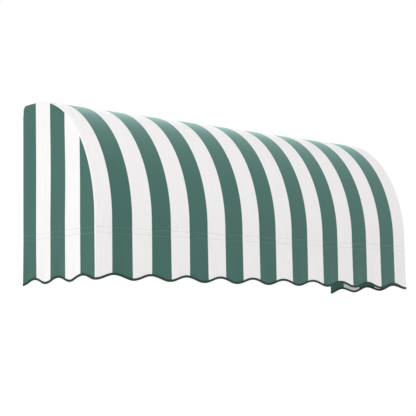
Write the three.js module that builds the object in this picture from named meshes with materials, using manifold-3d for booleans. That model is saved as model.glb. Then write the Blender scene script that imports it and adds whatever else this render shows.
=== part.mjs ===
// Fixed window awning of the waterfall kind: a striped canvas cover stretched over a knock-down frame of
// square aluminium tube. The frame is two closed end frames and a centre bow, between a header and a front
// rail.
// Moulded connectors plug into the tube ends, and five steel brackets carry the frame on the wall.
// Millimetres. +X runs to the right as seen from the street, +Y points into the wall and +Z is up.
// The origin lies on the wall, at mid width, between the screw holes of the centre header bracket.

import * as THREE from "three";
import { mergeVertices } from "three/addons/utils/BufferGeometryUtils.js";
import Module from "manifold-3d";

const wasm = await Module();
wasm.setup();

// Cover
const WIDTH = 1930; // nineteen stripes of four inches
const PROJECTION = 508; // wall to the front of the cover
const HEIGHT = 776; // top of the cover to the lowest point of the valance
const FRAME_DROP = 565; // top of the cover to the top of the front rail
const TOP_FLAT = 100; // level stretch of the cover, from the wall to the start of the curve
const CURVE_DROP = 523; // height of the elliptical curve
const SHOULDER = 25.5; // outside radius of the cover where it turns down behind the header
const CLOTH = 1.2; // canvas with its coating and seam allowance
const HEM_SETBACK = 0.5; // end of the hem folded in behind an upright, back from its inner face
const HEM_LIFT = 2; // lower edge of the hem above the underside of the header
const FRONT_SCALLOPS = 10;
const END_SCALLOPS = 3;
const SCALLOP_RISE = 21; // crest of a scallop above its lowest point
const BRAID_HEIGHT = 10; // binding sewn round the scalloped edge
const BRAID_PLY = 0.9;

// Frame
const TUBE = 20; // square tube of the bows, arms, uprights and front rail
const TUBE_WALL = 1.6;
const TUBE_CORNER = 1.5;
const HEADER_DEPTH = 30;
const HEADER_HEIGHT = 45;
const HEADER_WALL = 2;
const WALL_GAP = 5; // wall to the back of the frame, room for the hems and their clamp bars
const SPIGOT = 42; // length that a connector reaches into a tube
const SPIGOT_LEAD = 1.5; // chamfer on the tip of a spigot
const SPIGOT_WALL = 3; // spigots are cored out from the tip
const BLOCK_EDGE = 0.8; // chamfer on the edges of a connector block
const SADDLE_PLATE = 3; // foot of the centre bow's spigots
const CLAMP_BAR = [15, 2.5]; // width and thickness of the bars that hold the hems
const CLAMP_END = 12; // clamp bar kept back from the ends of its tube

// Wall brackets
const BRACKET_PLATE = 4;
const BRACKET_BEND = 3; // inside radius of the bend
const BRACKET_CORNER = 6; // rounded corners of the legs
const HEADER_BRACKET = { width: 70, leg: 38, spacing: 44, offset: 760 };
const FOOT_BRACKET = { height: 64, leg: 38, spacing: 38, aboveRail: 36 };
const HOLE_LINE = 20; // shelf underside to the wall screws of a header bracket
const WALL_SCREW_HOLE = 7;
const TUBE_SCREW_HOLE = 5;
const CLAMP_SCREW_HOLE = 4;
const CLAMP_SCREWS = { header: 7, upright: 4 };

// Fits
const CLEARANCE = 0.3;
const POCKET_SETBACK = 3; // pocket kept clear of connectors and saddles
const CUT_OVER = 5; // how far a cutter runs past the faces that it cuts

// Facets
const SHOULDER_STEPS = 6;
const CURVE_STEPS = 40;
const SCALLOP_STEPS = 12; // to each scallop
const HOLE_SIDES = 16;
const CORNER_STEPS = 4;

// Levels and places that follow from the sizes above
const HEADER_BOTTOM = HOLE_LINE + BRACKET_PLATE + CLEARANCE;
const HEADER_TOP = HEADER_BOTTOM + HEADER_HEIGHT;
const SKIN = CLOTH + CLEARANCE; // outside of the cover to the frame under it
const COVER_TOP = HEADER_TOP + SKIN;
const COVER_BACK = WALL_GAP - SKIN;
const RAIL_TOP = COVER_TOP - FRAME_DROP;
const RAIL_BOTTOM = RAIL_TOP - TUBE;
const VALANCE_LOW = COVER_TOP - HEIGHT;
const HEM_LOW = HEADER_BOTTOM + HEM_LIFT;
const HALF_WIDTH = WIDTH / 2;
const FRAME_HALF = HALF_WIDTH - SKIN; // outer face of the end frames
const BAY_HALF = FRAME_HALF - TUBE; // inner face of the end frames
const HEADER_FRONT = WALL_GAP + HEADER_DEPTH;
const RAIL_FRONT = PROJECTION - SKIN;
const RAIL_BACK = RAIL_FRONT - TUBE;
const TUBE_BORE = TUBE - 2 * TUBE_WALL;
const SPIGOT_SIDE = TUBE_BORE - 2 * CLEARANCE;
const BRAID_REACH = CLEARANCE + BRAID_PLY; // binding beyond each face of the cloth

// Materials
const material = (color, roughness, metalness) =>
  new THREE.MeshStandardMaterial({ color, roughness, metalness });
const canvas = material(0x4f7a71, 0.85, 0);
const lining = material(0xe9e7e2, 0.9, 0);
const binding = material(0x223a2c, 0.8, 0);
const aluminium = material(0xb9bcbe, 0.4, 0.9);
const nylon = material(0x2b2d2f, 0.55, 0);
const steel = material(0x9aa0a4, 0.45, 0.8);

// Solids: three.js geometry in and out of the boolean library
function solid(geometry) {
  const bare = geometry.clone();
  for (const name of ["normal", "uv"]) bare.deleteAttribute(name);
  const merged = mergeVertices(bare, 1e-4);
  return new wasm.Manifold(
    new wasm.Mesh({
      numProp: 3,
      vertProperties: new Float32Array(merged.attributes.position.array),
      triVerts: new Uint32Array(merged.index.array),
    }),
  );
}

function geometryOf(manifold) {
  const mesh = manifold.getMesh();
  const geometry = new THREE.BufferGeometry();
  geometry.setAttribute("position", new THREE.BufferAttribute(mesh.vertProperties, 3));
  geometry.setIndex(new THREE.BufferAttribute(mesh.triVerts, 1));
  geometry.computeVertexNormals();
  return geometry;
}

function join(...geometries) {
  return geometryOf(geometries.map(solid).reduce((whole, part) => whole.add(part)));
}

function cut(geometry, ...cutters) {
  return geometryOf(cutters.map(solid).reduce((left, tool) => left.subtract(tool), solid(geometry)));
}

// Extrusions of a flat outline between two planes. An end outline is drawn as (depth from the wall, height),
// a front outline as (x, height).
const END_OUTLINE = new THREE.Matrix4().makeBasis(
  new THREE.Vector3(0, -1, 0),
  new THREE.Vector3(0, 0, 1),
  new THREE.Vector3(-1, 0, 0),
);
const FRONT_OUTLINE = new THREE.Matrix4().makeBasis(
  new THREE.Vector3(1, 0, 0),
  new THREE.Vector3(0, 0, 1),
  new THREE.Vector3(0, -1, 0),
);

function extrude(shape, depth, edge = 0) {
  return new THREE.ExtrudeGeometry(shape, {
    depth: depth - 2 * edge,
    bevelEnabled: edge > 0,
    bevelThickness: edge,
    bevelSize: edge,
    bevelOffset: -edge,
    bevelSegments: 1,
    steps: 1,
    curveSegments: 3,
  }).translate(0, 0, edge);
}

function alongX(shape, xLow, xHigh, edge = 0) {
  return extrude(shape, xHigh - xLow, edge).applyMatrix4(END_OUTLINE).translate(xHigh, 0, 0);
}

function alongDepth(shape, depthLow, depthHigh, edge = 0) {
  return extrude(shape, depthHigh - depthLow, edge).applyMatrix4(FRONT_OUTLINE).translate(0, -depthLow, 0);
}

function alongZ(shape, zLow, zHigh, edge = 0) {
  return extrude(shape, zHigh - zLow, edge).translate(0, 0, zLow);
}

function outline(points) {
  return new THREE.Shape(points.map(([a, b]) => new THREE.Vector2(a, b)));
}

function rectangle(aLow, aHigh, bLow, bHigh) {
  return outline([
    [aLow, bLow],
    [aHigh, bLow],
    [aHigh, bHigh],
    [aLow, bHigh],
  ]);
}

// A drill along one of the three axes, centred on a point given as x, depth from the wall and height
function drill(diameter, length, axis, x, depth, z) {
  const turn = { x: [0, 0, Math.PI / 2], y: [0, 0, 0], z: [Math.PI / 2, 0, 0] }[axis];
  return new THREE.CylinderGeometry(diameter / 2, diameter / 2, length, HOLE_SIDES)
    .applyMatrix4(new THREE.Matrix4().makeRotationFromEuler(new THREE.Euler(...turn)))
    .translate(x, -depth, z);
}

function piece(name, geometry, finish) {
  const mesh = new THREE.Mesh(geometry, finish);
  mesh.name = name;
  return mesh;
}

// The cover's section at a given inset from its outside: up the back of the header, round the shoulder,
// level along the top, down the elliptical curve and straight down the front to a given height
function shoulderLine(inset) {
  const points = [];
  for (let step = 0; step <= SHOULDER_STEPS; step++) {
    const angle = (Math.PI / 2) * (step / SHOULDER_STEPS);
    const radius = SHOULDER - inset;
    points.push([
      COVER_BACK + SHOULDER - radius * Math.cos(angle),
      COVER_TOP - SHOULDER + radius * Math.sin(angle),
    ]);
  }
  return points;
}

function curveLine(inset) {
  const reach = PROJECTION - TOP_FLAT;
  const points = [];
  for (let step = 0; step <= CURVE_STEPS; step++) {
    const angle = (Math.PI / 2) * (step / CURVE_STEPS);
    const normal = new THREE.Vector2(Math.sin(angle) / reach, Math.cos(angle) / CURVE_DROP).normalize();
    points.push([
      TOP_FLAT + reach * Math.sin(angle) - inset * normal.x,
      COVER_TOP - CURVE_DROP * (1 - Math.cos(angle)) - inset * normal.y,
    ]);
  }
  return points;
}

function coverLine(inset, backLow, frontLow) {
  return [
    [COVER_BACK + inset, backLow],
    ...shoulderLine(inset),
    ...curveLine(inset),
    [PROJECTION - inset, frontLow],
  ];
}

// A strip between two insets of the cover's section
function band(line, outer, inner) {
  return outline([...line(inner), ...line(outer).reverse()]);
}

// Scalloped lower edge: a cosine wave with its lowest points at the corners. Every piece along the edge is
// faceted at the same places, so that the cloth lies evenly in its binding.
function scallopLine(from, to, start, span, count, lift) {
  const pitch = span / (count * SCALLOP_STEPS);
  const crest = (step) => (SCALLOP_RISE / 2) * (1 - Math.cos((2 * Math.PI * step) / SCALLOP_STEPS));
  const height = (place) => {
    const step = Math.floor((place - start) / pitch);
    const share = (place - start) / pitch - step;
    return VALANCE_LOW + lift + crest(step) * (1 - share) + crest(step + 1) * share;
  };
  const first = Math.floor((from - start) / pitch) + 1;
  const last = Math.ceil((to - start) / pitch) - 1;
  const places = Array.from({ length: last - first + 1 }, (_, i) => start + (first + i) * pitch);
  return [from, ...places, to].map((place) => [place, height(place)]);
}

const frontEdge = (from, to, lift) => scallopLine(from, to, -HALF_WIDTH, WIDTH, FRONT_SCALLOPS, lift);
const endEdge = (from, to, lift) => scallopLine(from, to, 0, PROJECTION, END_SCALLOPS, lift);

// Canvas
function frontPanel() {
  const sheet = alongX(
    band((inset) => coverLine(inset, HEM_LOW, VALANCE_LOW), 0, CLOTH),
    -HALF_WIDTH,
    HALF_WIDTH,
  );
  const below = outline([
    ...frontEdge(-HALF_WIDTH - CUT_OVER, HALF_WIDTH + CUT_OVER, BRAID_REACH),
    [HALF_WIDTH + CUT_OVER, VALANCE_LOW - CUT_OVER],
    [-HALF_WIDTH - CUT_OVER, VALANCE_LOW - CUT_OVER],
  ]);
  return cut(sheet, alongDepth(below, PROJECTION - CLOTH - CUT_OVER, PROJECTION + CUT_OVER));
}

function endPanel(side) {
  const outer = side * HALF_WIDTH;
  const inner = side * (HALF_WIDTH - CLOTH);
  const flapEnd = side * (BAY_HALF + HEM_SETBACK);
  const sheetShape = outline([
    [WALL_GAP, HEADER_BOTTOM],
    ...shoulderLine(SKIN),
    ...curveLine(SKIN),
    ...endEdge(COVER_BACK, PROJECTION - SKIN, BRAID_REACH).reverse(),
    [COVER_BACK, HEADER_BOTTOM],
  ]);
  const sheet = alongX(sheetShape, Math.min(outer, inner), Math.max(outer, inner));
  const flap = alongX(
    rectangle(COVER_BACK, COVER_BACK + CLOTH, RAIL_BOTTOM, HEADER_BOTTOM),
    Math.min(outer, flapEnd),
    Math.max(outer, flapEnd),
  );
  return join(sheet, flap);
}

// Binding folded over the scalloped edge: a strip that follows the wave, with a slot for the cloth
function foldedBinding(edgeOf, from, to) {
  const strip = (low, high) => outline([...edgeOf(from, to, low), ...edgeOf(from, to, high).reverse()]);
  const slotFrom = from - CUT_OVER;
  const slotTo = to + CUT_OVER;
  const slot = outline([
    ...edgeOf(slotFrom, slotTo, BRAID_PLY),
    ...edgeOf(slotFrom, slotTo, BRAID_HEIGHT + CUT_OVER).reverse(),
  ]);
  return { strip: strip(0, BRAID_HEIGHT), slot };
}

function frontBraid() {
  const reach = HALF_WIDTH - CLOTH - BRAID_REACH - CLEARANCE;
  const { strip, slot } = foldedBinding(frontEdge, -reach, reach);
  return cut(
    alongDepth(strip, PROJECTION - CLOTH - BRAID_REACH, PROJECTION + BRAID_REACH),
    alongDepth(slot, PROJECTION - CLOTH - CLEARANCE, PROJECTION + CLEARANCE),
  );
}

function endBraid(side) {
  const { strip, slot } = foldedBinding(endEdge, COVER_BACK, PROJECTION - SKIN);
  const faces = (reach) =>
    [side * (HALF_WIDTH + reach), side * (HALF_WIDTH - CLOTH - reach)].sort((a, b) => a - b);
  return cut(alongX(strip, ...faces(BRAID_REACH)), alongX(slot, ...faces(CLEARANCE)));
}

// Pocket sewn to the inside of the cover, which holds a tube of the bottom frame: a trough of cloth open
// towards the cover. It is drawn with the cover at nought and the tube beyond it.
function pocketShape(mirror) {
  const far = CLEARANCE + TUBE + CLEARANCE;
  const top = RAIL_TOP + CLEARANCE;
  const bottom = RAIL_BOTTOM - CLEARANCE;
  const points = [
    [0, top],
    [far, top],
    [far, bottom],
    [0, bottom],
    [0, bottom - CLOTH],
    [far + CLOTH, bottom - CLOTH],
    [far + CLOTH, top + CLOTH],
    [0, top + CLOTH],
  ];
  return points.map(([away, z]) => [mirror * away, z]);
}

function frontPocket(side) {
  const from = side * (BAY_HALF - POCKET_SETBACK);
  const to = side * (TUBE / 2 + POCKET_SETBACK);
  const seam = PROJECTION - CLOTH - CLEARANCE;
  const shape = outline(pocketShape(-1).map(([away, z]) => [seam + away, z]));
  return alongX(shape, Math.min(from, to), Math.max(from, to));
}

function armPocket(side) {
  const seam = side * (HALF_WIDTH - CLOTH - CLEARANCE);
  const shape = outline(pocketShape(-side).map(([away, z]) => [seam + away, z]));
  return alongDepth(shape, WALL_GAP + TUBE + POCKET_SETBACK, RAIL_BACK - POCKET_SETBACK);
}

// Tubes. A straight one is drawn along Z about its own middle and turned into place.
function squareSection(size, corner) {
  const half = size / 2;
  const shape = new THREE.Shape();
  shape.moveTo(half, -half + corner);
  shape.lineTo(half, half - corner);
  shape.absarc(half - corner, half - corner, corner, 0, Math.PI / 2);
  shape.absarc(-half + corner, half - corner, corner, Math.PI / 2, Math.PI);
  shape.absarc(-half + corner, -half + corner, corner, Math.PI, 1.5 * Math.PI);
  shape.absarc(half - corner, -half + corner, corner, 1.5 * Math.PI, 2 * Math.PI);
  return shape;
}

function straightTube(length) {
  const section = squareSection(TUBE, TUBE_CORNER);
  section.holes.push(rectangle(-TUBE_BORE / 2, TUBE_BORE / 2, -TUBE_BORE / 2, TUBE_BORE / 2));
  return extrude(section, length - 2 * CLEARANCE).translate(0, 0, CLEARANCE - length / 2);
}

function tubeMesh(name, length, axis, x, depth, z) {
  const mesh = piece(name, straightTube(length), aluminium);
  if (axis === "x") mesh.rotation.y = Math.PI / 2;
  if (axis === "y") mesh.rotation.x = Math.PI / 2;
  mesh.position.set(x, -depth, z);
  return mesh;
}

// Header extrusion: a box with a round shoulder that the cover turns over
function headerSection(wall) {
  const shape = new THREE.Shape();
  const radius = SHOULDER - SKIN - wall;
  const back = WALL_GAP + wall;
  const front = HEADER_FRONT - wall;
  const bottom = HEADER_BOTTOM + wall;
  const top = HEADER_TOP - wall;
  shape.moveTo(back, bottom);
  shape.lineTo(front, bottom);
  shape.lineTo(front, top);
  for (const [depth, z] of shoulderLine(SHOULDER - radius).reverse()) shape.lineTo(depth, z);
  return shape;
}

function headerRail() {
  const section = headerSection(0);
  section.holes.push(headerSection(HEADER_WALL));
  return alongX(section, -BAY_HALF + CLEARANCE, BAY_HALF - CLEARANCE);
}

// Bow: square tube bent to the cover's curve, from the header's front to the top of the front rail
function bow(middle, startGap, footGap) {
  const line = (past) => (inset) => [
    [HEADER_FRONT + startGap - past, COVER_TOP - inset],
    ...curveLine(inset),
    [PROJECTION - inset, RAIL_TOP + footGap - past],
  ];
  const low = middle - TUBE / 2;
  const high = middle + TUBE / 2;
  const outside = alongX(band(line(0), SKIN, SKIN + TUBE), low, high, BLOCK_EDGE);
  const bore = alongX(
    band(line(CUT_OVER), SKIN + TUBE_WALL, SKIN + TUBE - TUBE_WALL),
    low + TUBE_WALL,
    high - TUBE_WALL,
  );
  return cut(outside, bore);
}

// Connectors: a block with spigots that plug into the tubes. A spigot is drawn about a point on the face of
// the block and reaches back into the block by as much as its lead.
function spigot(axis, sign, x, depth, z) {
  const half = SPIGOT_SIDE / 2;
  const length = SPIGOT + 2 * SPIGOT_LEAD;
  const bar = extrude(rectangle(-half, half, -half, half), length, SPIGOT_LEAD);
  const bore = SPIGOT_SIDE - 2 * SPIGOT_WALL;
  const core = new THREE.BoxGeometry(bore, bore, SPIGOT).translate(0, 0, SPIGOT / 2 + SPIGOT_WALL);
  const plug = cut(bar.translate(0, 0, -2 * SPIGOT_LEAD), core);
  const turn = {
    x: new THREE.Euler(0, (sign * Math.PI) / 2, 0),
    y: new THREE.Euler((-sign * Math.PI) / 2, 0, 0),
    z: new THREE.Euler(sign > 0 ? 0 : Math.PI, 0, 0),
  }[axis];
  return plug.applyMatrix4(new THREE.Matrix4().makeRotationFromEuler(turn)).translate(x, -depth, z);
}

function topCorner(side) {
  const middle = side * (FRAME_HALF - TUBE / 2);
  const block = alongX(headerSection(0), middle - TUBE / 2, middle + TUBE / 2);
  const plugEnd = side * (BAY_HALF - SPIGOT);
  const coreEnd = side * (BAY_HALF - SPIGOT_WALL);
  const bar = alongX(
    headerSection(HEADER_WALL + CLEARANCE),
    Math.min(middle, plugEnd),
    Math.max(middle, plugEnd),
  );
  const core = alongX(
    headerSection(HEADER_WALL + CLEARANCE + SPIGOT_WALL),
    Math.min(coreEnd, plugEnd - side * CUT_OVER),
    Math.max(coreEnd, plugEnd - side * CUT_OVER),
  );
  const headerPlug = cut(bar, core);
  return join(
    block,
    headerPlug,
    spigot("y", -1, middle, HEADER_FRONT, HEADER_TOP - TUBE / 2),
    spigot("z", -1, middle, WALL_GAP + TUBE / 2, HEADER_BOTTOM),
  );
}

function cornerBlock(middle, depthLow) {
  const square = rectangle(depthLow, depthLow + TUBE, RAIL_BOTTOM, RAIL_TOP);
  return alongX(square, middle - TUBE / 2, middle + TUBE / 2, BLOCK_EDGE);
}

function frontCorner(side) {
  const middle = side * (FRAME_HALF - TUBE / 2);
  const railMiddle = RAIL_TOP - TUBE / 2;
  return join(
    cornerBlock(middle, RAIL_BACK),
    spigot("x", -side, side * BAY_HALF, RAIL_BACK + TUBE / 2, railMiddle),
    spigot("y", 1, middle, RAIL_BACK, railMiddle),
    spigot("z", 1, middle, RAIL_BACK + TUBE / 2, RAIL_TOP),
  );
}

function rearCorner(side) {
  const middle = side * (FRAME_HALF - TUBE / 2);
  return join(
    cornerBlock(middle, WALL_GAP),
    spigot("y", -1, middle, WALL_GAP + TUBE, RAIL_TOP - TUBE / 2),
    spigot("z", 1, middle, WALL_GAP + TUBE / 2, RAIL_TOP),
  );
}

function headSaddle() {
  const half = TUBE / 2;
  const from = HEADER_FRONT + CLEARANCE;
  const to = from + SADDLE_PLATE;
  const plate = alongDepth(rectangle(-half, half, HEADER_TOP - TUBE, HEADER_TOP), from, to, BLOCK_EDGE);
  return join(plate, spigot("y", -1, 0, to, HEADER_TOP - half));
}

function footSaddle() {
  const half = TUBE / 2;
  const from = RAIL_TOP + CLEARANCE;
  const to = from + SADDLE_PLATE;
  const plate = alongZ(rectangle(-half, half, -RAIL_FRONT, -RAIL_BACK), from, to, BLOCK_EDGE);
  return join(plate, spigot("z", 1, 0, RAIL_BACK + half, to));
}

// Clamp bars that press the hems against the back of the frame
function headerClampBar() {
  const [width, thickness] = CLAMP_BAR;
  const reach = BAY_HALF - CLAMP_END;
  const low = HEM_LOW + HEM_LIFT;
  const back = COVER_BACK - CLEARANCE;
  const bar = alongX(rectangle(back - thickness, back, low, low + width), -reach, reach);
  const first = width - reach;
  const pitch = (-2 * first) / (CLAMP_SCREWS.header - 1);
  const holes = Array.from({ length: CLAMP_SCREWS.header }, (_, i) =>
    drill(CLAMP_SCREW_HOLE, 3 * thickness, "y", first + i * pitch, back - thickness / 2, low + width / 2),
  );
  return cut(bar, ...holes);
}

function uprightClampBar(side) {
  const [width, thickness] = CLAMP_BAR;
  const middle = side * (FRAME_HALF - TUBE / 2);
  const back = COVER_BACK - CLEARANCE;
  const low = RAIL_TOP + CLAMP_END;
  const high = HEADER_BOTTOM - CLAMP_END;
  const strip = rectangle(back - thickness, back, low, high);
  const bar = alongX(strip, middle - width / 2, middle + width / 2);
  const pitch = (high - low - 2 * width) / (CLAMP_SCREWS.upright - 1);
  const holes = Array.from({ length: CLAMP_SCREWS.upright }, (_, i) =>
    drill(CLAMP_SCREW_HOLE, 3 * thickness, "y", middle, back - thickness / 2, low + width + i * pitch),
  );
  return cut(bar, ...holes);
}

// Angle brackets bent from steel strip. The section is drawn with the wall leg along the second axis and the
// other leg along the first, and the bend at the origin.
function angleSection(along, up) {
  const outerRadius = BRACKET_BEND + BRACKET_PLATE;
  const shape = new THREE.Shape();
  shape.moveTo(0, up);
  shape.lineTo(0, outerRadius);
  shape.absarc(outerRadius, outerRadius, outerRadius, Math.PI, 1.5 * Math.PI);
  shape.lineTo(along, 0);
  shape.lineTo(along, BRACKET_PLATE);
  shape.lineTo(outerRadius, BRACKET_PLATE);
  shape.absarc(outerRadius, outerRadius, BRACKET_BEND, 1.5 * Math.PI, Math.PI, true);
  shape.lineTo(BRACKET_PLATE, up);
  return shape;
}

// What a rounded corner takes off a plate: the square outside a quarter circle. The corner is at (a, b),
// and the signs say which way it points.
function cornerWaste(a, b, signA, signB) {
  const along = (u, v) => [a + signA * (u - BRACKET_CORNER), b + signB * (v - BRACKET_CORNER)];
  const far = BRACKET_CORNER + CUT_OVER;
  const points = [along(far, 0), along(far, far), along(0, far)];
  for (let step = 0; step <= CORNER_STEPS; step++) {
    const angle = (Math.PI / 2) * (1 - step / CORNER_STEPS);
    points.push(along(BRACKET_CORNER * Math.cos(angle), BRACKET_CORNER * Math.sin(angle)));
  }
  return outline(points);
}

// Header bracket: its shelf carries the header and its leg hangs down the wall
function headerBracket(middle) {
  const { width, leg, spacing } = HEADER_BRACKET;
  const shelfTop = HOLE_LINE + BRACKET_PLATE;
  const half = width / 2;
  const bent = extrude(angleSection(HEADER_FRONT, leg), width)
    .applyMatrix4(END_OUTLINE)
    .scale(1, 1, -1)
    .translate(middle + half, 0, shelfTop);
  turnFaces(bent);
  const reach = 4 * BRACKET_PLATE;
  const holes = [-1, 1].flatMap((end) => {
    const x = middle + (end * spacing) / 2;
    return [
      drill(WALL_SCREW_HOLE, reach, "y", x, 0, 0),
      drill(TUBE_SCREW_HOLE, reach, "z", x, WALL_GAP + HEADER_DEPTH / 2, HOLE_LINE),
    ];
  });
  const corners = [-1, 1].flatMap((end) => {
    const x = middle + end * half;
    return [
      alongDepth(cornerWaste(x, shelfTop - leg, end, -1), -CUT_OVER, BRACKET_PLATE + CUT_OVER),
      alongZ(cornerWaste(x, -HEADER_FRONT, end, -1), HOLE_LINE - CUT_OVER, shelfTop + CUT_OVER),
    ];
  });
  return cut(bent, ...holes, ...corners);
}

// A mirrored extrusion has its faces inside out, so each triangle is turned round
function turnFaces(geometry) {
  const position = geometry.attributes.position;
  for (let i = 0; i < position.count; i += 3) {
    const kept = new THREE.Vector3().fromBufferAttribute(position, i);
    const moved = new THREE.Vector3().fromBufferAttribute(position, i + 2);
    position.setXYZ(i, moved.x, moved.y, moved.z);
    position.setXYZ(i + 2, kept.x, kept.y, kept.z);
  }
}

// Foot bracket: one leg on the wall, the other along the inner face of an upright
function footBracket(side) {
  const { height, leg, spacing, aboveRail } = FOOT_BRACKET;
  const low = RAIL_TOP + aboveRail;
  const middle = low + height / 2;
  const face = side * (BAY_HALF - CLEARANCE);
  const bent = extrude(angleSection(WALL_GAP + TUBE, leg), height);
  const place = new THREE.Matrix4().makeBasis(
    new THREE.Vector3(0, -1, 0),
    new THREE.Vector3(-side, 0, 0),
    new THREE.Vector3(0, 0, 1),
  );
  bent.applyMatrix4(place).translate(face, 0, low);
  if (place.determinant() < 0) turnFaces(bent);
  const reach = 4 * BRACKET_PLATE;
  const holes = [-1, 1].flatMap((end) => {
    const z = middle + (end * spacing) / 2;
    return [
      drill(WALL_SCREW_HOLE, reach, "y", face - side * (leg / 2 + BRACKET_PLATE), 0, z),
      drill(TUBE_SCREW_HOLE, reach, "x", face, WALL_GAP + TUBE / 2, z),
    ];
  });
  const inner = face - side * (BRACKET_PLATE + CUT_OVER);
  const outer = face + side * CUT_OVER;
  const corners = [-1, 1].flatMap((end) => {
    const z = middle + (end * height) / 2;
    return [
      alongDepth(cornerWaste(face - side * leg, z, -side, end), -CUT_OVER, BRACKET_PLATE + CUT_OVER),
      alongX(cornerWaste(WALL_GAP + TUBE, z, 1, end), Math.min(inner, outer), Math.max(inner, outer)),
    ];
  });
  return cut(bent, ...holes, ...corners);
}

// Assembly
function endFrame(side, hand) {
  const group = new THREE.Group();
  const middle = side * (FRAME_HALF - TUBE / 2);
  const uprightLength = HEADER_BOTTOM - RAIL_TOP;
  const armLength = RAIL_BACK - WALL_GAP - TUBE;
  const uprightMiddle = RAIL_TOP + uprightLength / 2;
  const armMiddle = RAIL_BACK - armLength / 2;
  group.add(
    tubeMesh(`${hand}_upright`, uprightLength, "z", middle, WALL_GAP + TUBE / 2, uprightMiddle),
    tubeMesh(`${hand}_arm`, armLength, "y", middle, armMiddle, RAIL_TOP - TUBE / 2),
    piece(`${hand}_end_bow`, bow(middle, CLEARANCE, CLEARANCE), aluminium),
    piece(`${hand}_top_corner`, topCorner(side), nylon),
    piece(`${hand}_front_corner`, frontCorner(side), nylon),
    piece(`${hand}_rear_corner`, rearCorner(side), nylon),
    piece(`${hand}_foot_bracket`, footBracket(side), steel),
    piece(`${hand}_clamp_bar`, uprightClampBar(side), aluminium),
    piece(`${hand}_end_panel`, endPanel(side), canvas),
    piece(`${hand}_end_braid`, endBraid(side), binding),
    piece(`${hand}_arm_pocket`, armPocket(side), lining),
    piece(`${hand}_front_pocket`, frontPocket(side), lining),
    piece(`${hand}_header_bracket`, headerBracket(side * HEADER_BRACKET.offset), steel),
  );
  return group;
}

const saddleGap = SADDLE_PLATE + 2 * CLEARANCE;
const awning = new THREE.Group();
awning.add(
  piece("front_panel", frontPanel(), canvas),
  piece("front_braid", frontBraid(), binding),
  piece("header_rail", headerRail(), aluminium),
  tubeMesh("front_rail", 2 * BAY_HALF, "x", 0, RAIL_BACK + TUBE / 2, RAIL_TOP - TUBE / 2),
  piece("centre_bow", bow(0, saddleGap, saddleGap), aluminium),
  piece("centre_bow_head_saddle", headSaddle(), nylon),
  piece("centre_bow_foot_saddle", footSaddle(), nylon),
  piece("header_clamp_bar", headerClampBar(), aluminium),
  piece("centre_header_bracket", headerBracket(0), steel),
  endFrame(-1, "left"),
  endFrame(1, "right"),
);

export default awning;
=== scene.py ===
"""Fixed waterfall window awning: striped cover, binding, sewing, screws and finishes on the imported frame.

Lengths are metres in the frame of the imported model: +X along the wall, +Y into the wall, +Z up. Depth is the
distance out from the wall, so a point at some depth has minus that as its Y.
"""

import math

import bmesh
import bpy
import numpy as np
from bpy.props import FloatProperty, FloatVectorProperty, PointerProperty
from bpy.types import Operator, Panel, PropertyGroup
from mathutils import Matrix, Vector


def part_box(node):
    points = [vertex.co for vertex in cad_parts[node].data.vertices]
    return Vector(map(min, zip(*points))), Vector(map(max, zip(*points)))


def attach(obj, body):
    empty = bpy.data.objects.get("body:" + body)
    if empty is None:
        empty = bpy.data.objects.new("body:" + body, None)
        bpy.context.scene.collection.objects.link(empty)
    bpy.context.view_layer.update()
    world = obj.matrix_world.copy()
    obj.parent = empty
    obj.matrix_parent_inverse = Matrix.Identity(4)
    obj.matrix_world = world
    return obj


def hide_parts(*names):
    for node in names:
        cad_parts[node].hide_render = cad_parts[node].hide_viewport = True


bl_info = {
    "name": "Window awning",
    "version": (1, 0, 0),
    "blender": (4, 5, 0),
    "location": "View3D > Sidebar > Awning",
    "description": "Striped cover, sewing, screws and finishes of a fixed window awning",
    "category": "Object",
}

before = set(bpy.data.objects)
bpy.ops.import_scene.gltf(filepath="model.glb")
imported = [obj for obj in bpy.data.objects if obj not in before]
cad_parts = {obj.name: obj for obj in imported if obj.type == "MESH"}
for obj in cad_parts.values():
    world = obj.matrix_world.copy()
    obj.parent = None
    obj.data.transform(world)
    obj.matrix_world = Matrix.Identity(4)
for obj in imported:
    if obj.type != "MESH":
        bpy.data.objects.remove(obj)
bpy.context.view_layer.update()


def corners(node):
    """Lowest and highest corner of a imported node, as arrays."""
    return tuple(np.array(corner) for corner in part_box(node))


def linear(code):
    """Linear colour of an sRGB hex value: each channel through the sRGB curve with its straight toe."""
    value = np.array([int(code[i:i + 2], 16) for i in (1, 3, 5)]) / 255
    return tuple(np.where(value <= 0.04045, value / 12.92, ((value + 0.055) / 1.055) ** 2.4).tolist())


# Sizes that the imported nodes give
MM = 0.001
COVER_LOW, COVER_HIGH = corners("front_panel")
EDGE_LOW, EDGE_HIGH = corners("front_braid")
RAIL_LOW, RAIL_HIGH = corners("front_rail")
HEADER_LOW, _ = corners("header_rail")
FLAP_LOW, _ = corners("right_end_panel")
HALF = COVER_HIGH[0]  # middle to the side of the cover
REACH = -COVER_LOW[1]  # wall to the front of the cover
BACK = -COVER_HIGH[1]  # wall to the rear hem
TOP = COVER_HIGH[2]
EDGE = EDGE_LOW[2]  # lowest points of the scalloped edge
RAIL_TOP, RAIL_BOTTOM = RAIL_HIGH[2], RAIL_LOW[2]

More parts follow.
